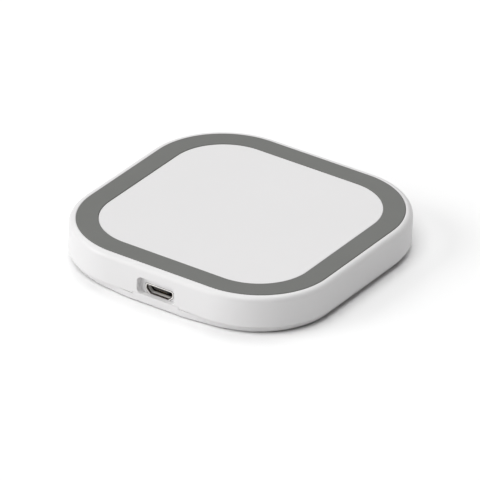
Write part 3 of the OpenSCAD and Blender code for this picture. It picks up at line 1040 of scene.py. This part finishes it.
def mouth_outline(grow):
    """Front view of the socket's mouth, wide side up, with its lower corners cut, grown by that much."""
    inner_low = low("usb_insulator").z
    inner_high = high("usb_insulator").z
    half = high("usb_insulator").x + grow
    foot = inner_low - grow
    head = inner_high + grow
    corner_cut = 0.001
    corner_bend = 0.00022
    cut = corner_cut + (2 - math.sqrt(2)) * grow
    bend = corner_bend + grow * 0.8
    return rounded([
        (-half, head, bend), (-half, foot + cut, bend), (-half + cut, foot, bend),
        (half - cut, foot, bend), (half, foot + cut, bend), (half, head, bend),
    ])


# Geometry Nodes trees

def start_tree(name, numbers, pieces=()):
    """New tree with those inputs. Returns its graph and its inputs by name."""
    tree = bpy.data.node_groups.new(name, "GeometryNodeTree")
    tree.interface.new_socket("Geometry", in_out="OUTPUT", socket_type="NodeSocketGeometry")
    tree.interface.new_socket("Geometry", in_out="INPUT", socket_type="NodeSocketGeometry")
    for socket in pieces:
        tree.interface.new_socket(socket, in_out="INPUT", socket_type="NodeSocketObject")
    for socket in numbers:
        tree.interface.new_socket(socket, in_out="INPUT", socket_type="NodeSocketFloat")
    graph = Graph(tree)
    outputs = tree.nodes.new("NodeGroupInput").outputs
    return graph, {s.name: Value(graph, s) for s in outputs if s.name}


def end_tree(graph, geometry, finish):
    """Makes the geometry real, gives it its finish and puts it out."""
    real = graph.add("GeometryNodeRealizeInstances", {}, {"Geometry": geometry})
    painted = graph.add("GeometryNodeSetMaterial", {}, {"Geometry": real["Geometry"], "Material": finish})
    end = graph.tree.nodes.new("NodeGroupOutput")
    graph.tree.links.new(painted["Geometry"].socket, end.inputs["Geometry"])
    return graph.tree


def band_tree(name, finish):
    """Tree for a flat band with soft upper edges that follows a square with round corners."""
    numbers = ("Side", "Corner Radius", "Width", "Foot", "Head", "Edge Radius")
    graph, inputs = start_tree(name, numbers)
    width = inputs["Width"]
    side = inputs["Side"] - width
    outline = graph.add("GeometryNodeCurvePrimitiveQuadrilateral", {}, {"Width": side, "Height": side})
    path = graph.add("GeometryNodeFilletCurve", {"mode": "POLY"}, {
        "Curve": outline["Curve"], "Count": 28, "Radius": inputs["Corner Radius"] - width / 2,
    })
    upright = graph.add("GeometryNodeSetCurveNormal", {"mode": "Z_UP"}, {"Curve": path["Curve"]})
    height = inputs["Head"] - inputs["Foot"]
    box = graph.add("GeometryNodeCurvePrimitiveQuadrilateral", {}, {"Width": width, "Height": height})
    section = graph.add("GeometryNodeFilletCurve", {"mode": "POLY"}, {
        "Curve": box["Curve"], "Count": 6, "Radius": inputs["Edge Radius"],
    })
    swept = graph.add("GeometryNodeCurveToMesh", {}, {
        "Curve": upright["Curve"], "Profile Curve": section["Curve"],
    })
    lift = graph.add("ShaderNodeCombineXYZ", {}, {"Z": (inputs["Head"] + inputs["Foot"]) / 2})
    placed = graph.add("GeometryNodeSetPosition", {}, {"Geometry": swept["Mesh"], "Offset": lift["Vector"]})
    return end_tree(graph, placed["Geometry"], finish)


def square_tree(name, finish):
    """Tree that sets four copies of a piece at the corners of a square."""
    graph, inputs = start_tree(name, ("Side",), ("Piece",))
    piece = graph.add("GeometryNodeObjectInfo", {}, {"Object": inputs["Piece"]})
    corners = graph.add("GeometryNodeMeshGrid", {}, {
        "Size X": inputs["Side"], "Size Y": inputs["Side"], "Vertices X": 2, "Vertices Y": 2,
    })
    copies = graph.add("GeometryNodeInstanceOnPoints", {}, {
        "Points": corners["Mesh"], "Instance": piece["Geometry"],
    })
    return end_tree(graph, copies["Instances"], finish)


def thread_tree(name, finish):
    """Tree for the ridge of a screw thread, a triangle carried up a helix."""
    graph, inputs = start_tree(name, ("Root Radius", "Foot", "Length", "Pitch", "Depth"))
    turns = inputs["Length"] / inputs["Pitch"]
    helix = graph.add("GeometryNodeCurveSpiral", {}, {
        "Resolution": 20, "Rotations": turns, "Start Radius": inputs["Root Radius"],
        "End Radius": inputs["Root Radius"], "Height": inputs["Length"],
    })
    upright = graph.add("GeometryNodeSetCurveNormal", {"mode": "Z_UP"}, {"Curve": helix["Curve"]})
    ridge = graph.add("GeometryNodeCurvePrimitiveCircle", {"mode": "RADIUS"}, {
        "Resolution": 3, "Radius": inputs["Depth"],
    })
    swept = graph.add("GeometryNodeCurveToMesh", {}, {
        "Curve": upright["Curve"], "Profile Curve": ridge["Curve"], "Fill Caps": True,
    })
    lift = graph.add("ShaderNodeCombineXYZ", {}, {"Z": inputs["Foot"]})
    placed = graph.add("GeometryNodeSetPosition", {}, {"Geometry": swept["Mesh"], "Offset": lift["Vector"]})
    return end_tree(graph, placed["Geometry"], finish)


def litz_tree(name, finish):
    """Tree for a flat winding of twisted strands. Each half-turn is an arc with its own centre."""
    numbers = ("Inner Radius", "Half Pitch", "Turn", "Level", "Wire Radius", "Strand Length", "Points")
    graph, inputs = start_tree(name, numbers)
    points = inputs["Points"]
    line = graph.add("GeometryNodeMeshLine", {"mode": "OFFSET"}, {"Count": points})
    curve = graph.add("GeometryNodeMeshToCurve", {}, {"Mesh": line["Mesh"]})
    index = graph.add("GeometryNodeInputIndex")["Index"]
    angle = index / (points - 1) * inputs["Turn"]
    nudge = 0.00001
    half_turn = graph.maths("FLOOR", angle / math.pi + nudge)
    radius = inputs["Inner Radius"] + half_turn * inputs["Half Pitch"]
    shift = graph.maths("FLOORED_MODULO", half_turn, 2.0) * inputs["Half Pitch"]
    spot = graph.add("ShaderNodeCombineXYZ", {}, {
        "X": shift + graph.maths("COSINE", angle) * radius,
        "Y": graph.maths("SINE", angle) * radius,
        "Z": inputs["Level"],
    })
    wound = graph.add("GeometryNodeSetPosition", {}, {
        "Geometry": curve["Curve"], "Position": spot["Vector"],
    })
    upright = graph.add("GeometryNodeSetCurveNormal", {"mode": "Z_UP"}, {"Curve": wound["Geometry"]})
    run = graph.add("GeometryNodeSplineParameter")["Length"]
    twisted = graph.add("GeometryNodeSetCurveTilt", {}, {
        "Curve": upright["Curve"], "Tilt": run / inputs["Strand Length"] * math.tau,
    })
    around = 6 * STRANDS
    ring = graph.add("GeometryNodeCurvePrimitiveCircle", {"mode": "RADIUS"}, {"Resolution": around})
    lobe = graph.add("GeometryNodeInputIndex")["Index"] * (math.tau / STRANDS)
    groove = 0.06
    bulge = (1 - groove) + graph.maths("COSINE", lobe) * groove
    spread = graph.scaled(graph.add("GeometryNodeInputPosition")["Position"], bulge * inputs["Wire Radius"])
    section = graph.add("GeometryNodeSetPosition", {}, {"Geometry": ring["Curve"], "Position": spread})
    swept = graph.add("GeometryNodeCurveToMesh", {}, {
        "Curve": twisted["Curve"], "Profile Curve": section["Geometry"], "Fill Caps": True,
    })
    return end_tree(graph, swept["Mesh"], finish)


def grown_piece(name, tree, values):
    """Plain mesh object made by a Geometry Nodes tree with those inputs."""
    made = bpy.data.objects.new(name, bpy.data.meshes.new(name))
    bpy.context.scene.collection.objects.link(made)
    maker = made.modifiers.new(tree.name, "NODES")
    maker.node_group = tree
    for item in tree.interface.items_tree:
        if item.in_out == "INPUT" and item.name in values:
            maker[item.identifier] = values[item.name]
    settle(made)
    work = bmesh.new()
    work.from_mesh(made.data)
    bmesh.ops.remove_doubles(work, verts=work.verts, dist=0.000001)
    bmesh.ops.recalc_face_normals(work, faces=work.faces)
    work.to_mesh(made.data)
    work.free()
    return made


class PAD_OT_grip_ring(bpy.types.Operator):
    """Lay the grey grip ring and the adhesive under it in the shell's groove"""

    bl_idname = "pad.grip_ring"
    bl_label = "Grip Ring"

    def execute(self, context):
        ring = context.scene.pad_ring
        radius = context.scene.pad_shell.corner_radius - RIM_WIDTH
        values = {
            "Side": 2 * (HALF_SIDE - RIM_WIDTH - ring.gap),
            "Corner Radius": radius - ring.gap,
            "Width": ring.width - 2 * ring.gap,
            "Foot": low("grip_ring").z,
            "Head": RING_LEVEL,
            "Edge Radius": ring.edge,
        }
        band = grown_piece("grip_band", band_tree("flat_band", FINISHES["ring_silicone"]), values)
        smooth(band)
        dress(band, "ring_silicone", ["grip_ring"])
        keep_part("ring_tape", "adhesive_film")
        return {"FINISHED"}


class PAD_OT_base(bpy.types.Operator):
    """Finish the white base that closes the pad from below"""

    bl_idname = "pad.base"
    bl_label = "Base"

    def execute(self, context):
        size = context.scene.pad_base
        base = softened_copy("base_moulding", "base_plate", size.edge)
        settle(base)
        corner_radius = context.scene.pad_shell.corner_radius
        combine(base, self.rim(size, corner_radius), "INTERSECT")
        for side in (-1, 1):
            combine(base, self.apron_end(size, corner_radius, side), "UNION")
        smooth(base)
        dress(base, "base_plastic", ["base_plate"])
        return {"FINISHED"}

    def rim(self, size, corner_radius):
        """Solid that the base stays within: its side leans in towards the table, except at the apron."""
        foot = low("base_plate").z
        below = foot - PAST
        above = SHELL_EDGE + 0.003
        middle = 0.02
        lean = size.inset + size.lean
        profile = rounded([
            (middle, below, 0), (lean + PAST, below, 0), (lean, foot, size.bottom_edge),
            (size.inset, SHELL_EDGE - LAP, 0), (size.inset, above, 0), (middle, above, 0),
        ], closed=False)
        rim = square_loft("rim", profile, corner_radius)
        half = size.apron_width / 2 + PAST
        front = -HALF_SIDE - PAST
        combine(rim, block("apron", (-half, front, below), (half, front + 0.003, above)), "UNION")
        return rim

    def apron_end(self, size, corner_radius, side):
        """Part under the shell's edge that eases from the apron's flush front back to the inset side."""
        foot = low("base_plate").z
        gap = 0.00004
        head = SHELL_EDGE - gap
        back = -HALF_SIDE + 0.0026
        sunk = 0.00001
        steps = 24
        loops = []
        for step in range(steps + 1):
            share = step / steps
            eased = share * share * (3 - 2 * share)
            across = size.apron_width / 2 - LAP + size.apron_slope * share
            inset = sunk + (size.inset + 2 * sunk) * eased
            bend = corner_radius - inset
            past = max(0, across - HALF_SIDE + corner_radius)
            front = -HALF_SIDE + inset + bend - math.sqrt(bend ** 2 - past ** 2)
            section = rounded([
                (back, foot, 0), (front + size.lean * eased, foot, size.bottom_edge),
                (front, head, 0), (back, head, 0),
            ], closed=False)
            loops.append([(side * across, p.x, p.y) for p in section])
        return loft("apron end", loops)


class PAD_OT_feet(bpy.types.Operator):
    """Make the four round silicone feet"""

    bl_idname = "pad.feet"
    bl_label = "Feet"

    def execute(self, context):
        size = context.scene.pad_fixings
        dish = size.foot_dish
        profile = rounded([
            (TIP, dish, 0), (FOOT_RADIUS * 0.55, dish, 0.002), (FOOT_RADIUS * 0.8, 0, 0.001),
            (FOOT_RADIUS, 0, size.foot_edge), (FOOT_RADIUS, FOOT_TOP, 0.0001), (TIP, FOOT_TOP, 0),
        ], closed=False)
        foot = round_loft("foot", profile, (0, 0), steps=72)
        values = {"Piece": foot, "Side": 2 * FOOT_PITCH}
        feet = grown_piece("feet", square_tree("four_feet", FINISHES["foot_silicone"]), values)
        bpy.data.objects.remove(foot)
        smooth(feet)
        nodes = ["foot_front_left", "foot_front_right", "foot_back_left", "foot_back_right"]
        dress(feet, "foot_silicone", nodes)
        return {"FINISHED"}


class PAD_OT_screws(bpy.types.Operator):
    """Make the four self-tapping screws, with a cross recess in the head and a coarse thread"""

    bl_idname = "pad.screws"
    bl_label = "Screws"

    def execute(self, context):
        size = context.scene.pad_fixings
        foot = low("base_screws").z
        tip = high("base_screws").z
        seat = foot + size.head_height
        head_radius = high("base_screws").x - FOOT_PITCH
        root = size.shank_radius - size.thread_depth
        profile = rounded([
            (TIP, foot, 0), (head_radius, foot, size.head_edge), (head_radius, seat, 0.00006),
            (root, seat, 0.00008), (root, tip - size.point_length, 0.0003), (TIP, tip, 0),
        ], closed=False)
        screw = round_loft("screw", profile, (0, 0), steps=40)
        for turn in range(2):
            combine(screw, self.slot(size, foot, turn), "DIFFERENCE")
        values = {
            "Root Radius": root + size.thread_depth * 0.1,
            "Foot": seat + 0.0004,
            "Length": tip - seat - 0.0016,
            "Pitch": size.thread_pitch,
            "Depth": size.thread_depth * 0.9,
        }
        ridge = grown_piece("ridge", thread_tree("thread", FINISHES["screw_steel"]), values)
        screw = joined("screw", [screw, ridge])
        values = {"Piece": screw, "Side": 2 * FOOT_PITCH}
        screws = grown_piece("screws", square_tree("four_screws", FINISHES["screw_steel"]), values)
        bpy.data.objects.remove(screw)
        smooth(screws)
        dress(screws, "screw_steel", ["base_screws"])
        return {"FINISHED"}

    def slot(self, size, foot, turn):
        """Cutter for one arm of the cross recess, narrower towards its end."""
        loops = []
        for depth, share in ((-2 * PAST, 1.06), (0, 1.0), (size.drive_depth, 0.55)):
            half = size.drive_length / 2 * share
            side = size.drive_width / 2 * (0.6 + 0.4 * share)
            corners = [(half, side), (-half, side), (-half, -side), (half, -side)]
            if turn:
                corners = [(-y, x) for x, y in corners]
            loops.append([(x, y, foot + depth) for x, y in corners])
        return loft("slot", loops)


class PAD_OT_socket(bpy.types.Operator):
    """Form the socket's flared metal shell, its tongue and contacts"""

    bl_idname = "pad.socket"
    bl_label = "Socket"

    def execute(self, context):
        front = low("usb_shell").y
        back = high("usb_shell").y
        sheet = 0.0003
        flare = 0.00025
        run = 0.0005
        edge = 0.00008
        sections = [
            (back, mouth_outline(sheet)),
            (front + run, mouth_outline(sheet)),
            (front + run * 0.45, mouth_outline(sheet + flare * 0.35)),
            (front + edge, mouth_outline(sheet + flare)),
            (front, mouth_outline(sheet + flare - edge)),
            (front, mouth_outline(flare + edge)),
            (front + edge, mouth_outline(flare)),
            (front + run * 0.5, mouth_outline(flare * 0.35)),
            (front + run, mouth_outline(0)),
            (back, mouth_outline(0)),
        ]
        shell = front_loft("socket_shell", sections, closed=True)
        smooth(shell, sharp_angle=40)
        dress(shell, "socket_steel", ["usb_shell"])
        tongue_edge = 0.00004
        tongue = softened_copy("socket_tongue", "usb_insulator", tongue_edge)
        smooth(tongue)
        dress(tongue, "socket_nylon", ["usb_insulator"])
        keep_part("usb_contacts", "contact_gold")
        return {"FINISHED"}


class PAD_OT_coil(bpy.types.Operator):
    """Wind the flat coil from twisted strands"""

    bl_idname = "pad.coil"
    bl_label = "Coil"

    def execute(self, context):
        size = context.scene.pad_coil
        values = {
            "Inner Radius": size.inner_radius,
            "Half Pitch": size.turn_pitch / 2,
            "Turn": size.half_turns * math.pi + size.outer_arc,
            "Level": COIL_LEVEL,
            "Wire Radius": WIRE_RADIUS,
            "Strand Length": size.strand_length,
            "Points": float(size.points),
        }
        winding = grown_piece("winding", litz_tree("twisted_winding", FINISHES["litz_copper"]), values)
        smooth(winding, sharp_angle=60)
        dress(winding, "litz_copper", ["coil_winding"])
        return {"FINISHED"}


class PAD_OT_inside(bpy.types.Operator):
    """Finish the coil's leads, shield and films, the board and the parts on it"""

    bl_idname = "pad.inside"
    bl_label = "Inside Parts"

    def execute(self, context):
        finishes = {
            "circuit_board": "laminate",
            "coil_lead_inner": "litz_copper",
            "coil_lead_outer": "litz_copper",
            "coil_tape": "adhesive_film",
            "ferrite_tape": "adhesive_film",
            "ferrite_shield": "ferrite",
            "insulation_sheet": "insulating_film",
            "lead_solder": "solder",
            "control_chip": "chip_epoxy",
            "control_chip_pins": "tinned_metal",
            "bridge_chip_left": "chip_epoxy",
            "bridge_chip_right": "chip_epoxy",
            "bridge_chip_pins": "tinned_metal",
            "choke_core": "ferrite",
            "choke_terminals": "tinned_metal",
            "resonant_capacitors": "ceramic",
            "input_capacitors": "ceramic",
            "chip_capacitors": "ceramic",
            "chip_resistors": "chip_epoxy",
            "chip_terminals": "tinned_metal",
        }
        for node, finish in finishes.items():
            keep_part(node, finish)
        return {"FINISHED"}


def direction(azimuth, elevation):
    """Unit vector at an angle from the socket side towards +X and an angle above the table."""
    flat = math.cos(elevation)
    return Vector((math.sin(azimuth) * flat, -math.cos(azimuth) * flat, math.sin(elevation)))


class PAD_OT_studio(bpy.types.Operator):
    """Set the pale floor, the soft lights and the camera"""

    bl_idname = "pad.studio"
    bl_label = "Studio"

    def execute(self, context):
        studio = context.scene.pad_studio
        self.lay_floor(studio)
        self.light_room(context, studio)
        self.hang_lamps(context, studio)
        self.place_camera(context, studio)
        return {"FINISHED"}

    def lay_floor(self, studio):
        """Wide round floor at the height of the feet."""
        level = CAD_BOX[0].z
        work = bmesh.new()
        steps = 48
        angles = [math.tau * step / steps for step in range(steps)]
        loops = []
        for radius in (0.02, 0.1, 0.5, 3.0):
            ring = [(radius * math.cos(a), radius * math.sin(a), level) for a in angles]
            loops.append([work.verts.new(point) for point in ring])
        work.faces.new(loops[0])
        for ring, other in zip(loops, loops[1:]):
            for i in range(steps):
                j = (i + 1) % steps
                work.faces.new((ring[i], other[i], other[j], ring[j]))
        mesh = bpy.data.meshes.new("floor")
        work.to_mesh(mesh)
        work.free()
        floor = bpy.data.objects.new("floor", mesh)
        bpy.context.scene.collection.objects.link(floor)

        def paint(graph, place):
            paper = graph.noise(place, 0.004, 3.0)
            tint = graph.blend(paper, rgba(studio.floor_colour, 0.995), rgba(studio.floor_colour))
            return {"Base Color": tint, "Roughness": 0.7 + paper * 0.1, "Specular IOR Level": 0.1}

        new_material("pale_floor", paint)
        mesh.materials.append(FINISHES["pale_floor"])

    def light_room(self, context, studio):
        """Even white light from all round."""
        world = bpy.data.worlds.new("room")
        world.use_nodes = True
        world.node_tree.nodes.clear()
        graph = Graph(world.node_tree)
        sockets = {"Color": rgba((1, 1, 1)), "Strength": studio.surround}
        glow = graph.add("ShaderNodeBackground", {}, sockets)
        graph.add("ShaderNodeOutputWorld", {}, {"Surface": glow["Background"]})
        context.scene.world = world
        context.scene.view_settings.view_transform = "Standard"

    def hang_lamps(self, context, studio):
        """Wide soft lights: low at the front left, behind on the left, and two overhead."""
        lamps = (
            ("key", studio.key_strength, studio.key_azimuth, studio.key_elevation),
            ("back", studio.back_strength, studio.back_azimuth, studio.back_elevation),
            ("front", studio.front_strength, 0.0, studio.overhead_elevation),
            ("rear", studio.rear_strength, math.pi, studio.overhead_elevation),
        )
        lamp_distance = 0.5
        for name, strength, azimuth, elevation in lamps:
            lamp = bpy.data.lights.new(name, "SUN")
            lamp.energy = strength
            lamp.angle = studio.softness
            made = bpy.data.objects.new(name, lamp)
            made.location = lamp_distance * direction(-azimuth, elevation)
            made.rotation_mode = "QUATERNION"
            made.rotation_quaternion = made.location.to_track_quat("Z", "Y")
            context.scene.collection.objects.link(made)

    def place_camera(self, context, studio):
        """Long lens above the right of the socket side."""
        lens = bpy.data.cameras.new("camera")
        lens.lens = studio.lens
        lens.sensor_width = 36
        lens.clip_start = 0.05
        lens.clip_end = 20
        made = bpy.data.objects.new("camera", lens)
        back = direction(studio.azimuth, studio.elevation)
        aim = Vector((studio.aim[0], studio.aim[1], RING_LEVEL))
        made.location = aim + back * studio.distance
        made.rotation_mode = "QUATERNION"
        level = (-back).to_track_quat("-Z", "Y").to_matrix()
        tilt = Matrix.Rotation(studio.roll, 3, back)
        made.rotation_quaternion = (tilt @ level).to_quaternion()
        context.scene.collection.objects.link(made)
        context.scene.camera = made


class PAD_PT_panel(bpy.types.Panel):
    """Lists the pad's pieces in the sidebar."""

    bl_idname = "PAD_PT_panel"
    bl_label = "Charging Pad"
    bl_space_type = "VIEW_3D"
    bl_region_type = "UI"
    bl_category = "Charging Pad"

    def draw(self, context):
        for operator in OPERATORS:
            self.layout.operator(operator.bl_idname)


OPERATORS = (
    PAD_OT_finishes,
    PAD_OT_shell,
    PAD_OT_grip_ring,
    PAD_OT_base,
    PAD_OT_feet,
    PAD_OT_screws,
    PAD_OT_socket,
    PAD_OT_coil,
    PAD_OT_inside,
    PAD_OT_studio,
)
SETTINGS = {
    "pad_shell": PadShellSettings,
    "pad_base": PadBaseSettings,
    "pad_fixings": PadFixingSettings,
    "pad_coil": PadCoilSettings,
    "pad_ring": PadRingSettings,
    "pad_studio": PadStudioSettings,
}


def register():
    for name, group in SETTINGS.items():
        bpy.utils.register_class(group)
        setattr(bpy.types.Scene, name, PointerProperty(type=group))
    for operator in OPERATORS:
        bpy.utils.register_class(operator)
    bpy.utils.register_class(PAD_PT_panel)


def unregister():
    bpy.utils.unregister_class(PAD_PT_panel)
    for operator in reversed(OPERATORS):
        bpy.utils.unregister_class(operator)
    for name, group in SETTINGS.items():
        delattr(bpy.types.Scene, name)
        bpy.utils.unregister_class(group)


def main():
    register()
    for operator in OPERATORS:
        family, name = operator.bl_idname.split(".")
        getattr(getattr(bpy.ops, family), name)()


if __name__ == "__main__":
    main()
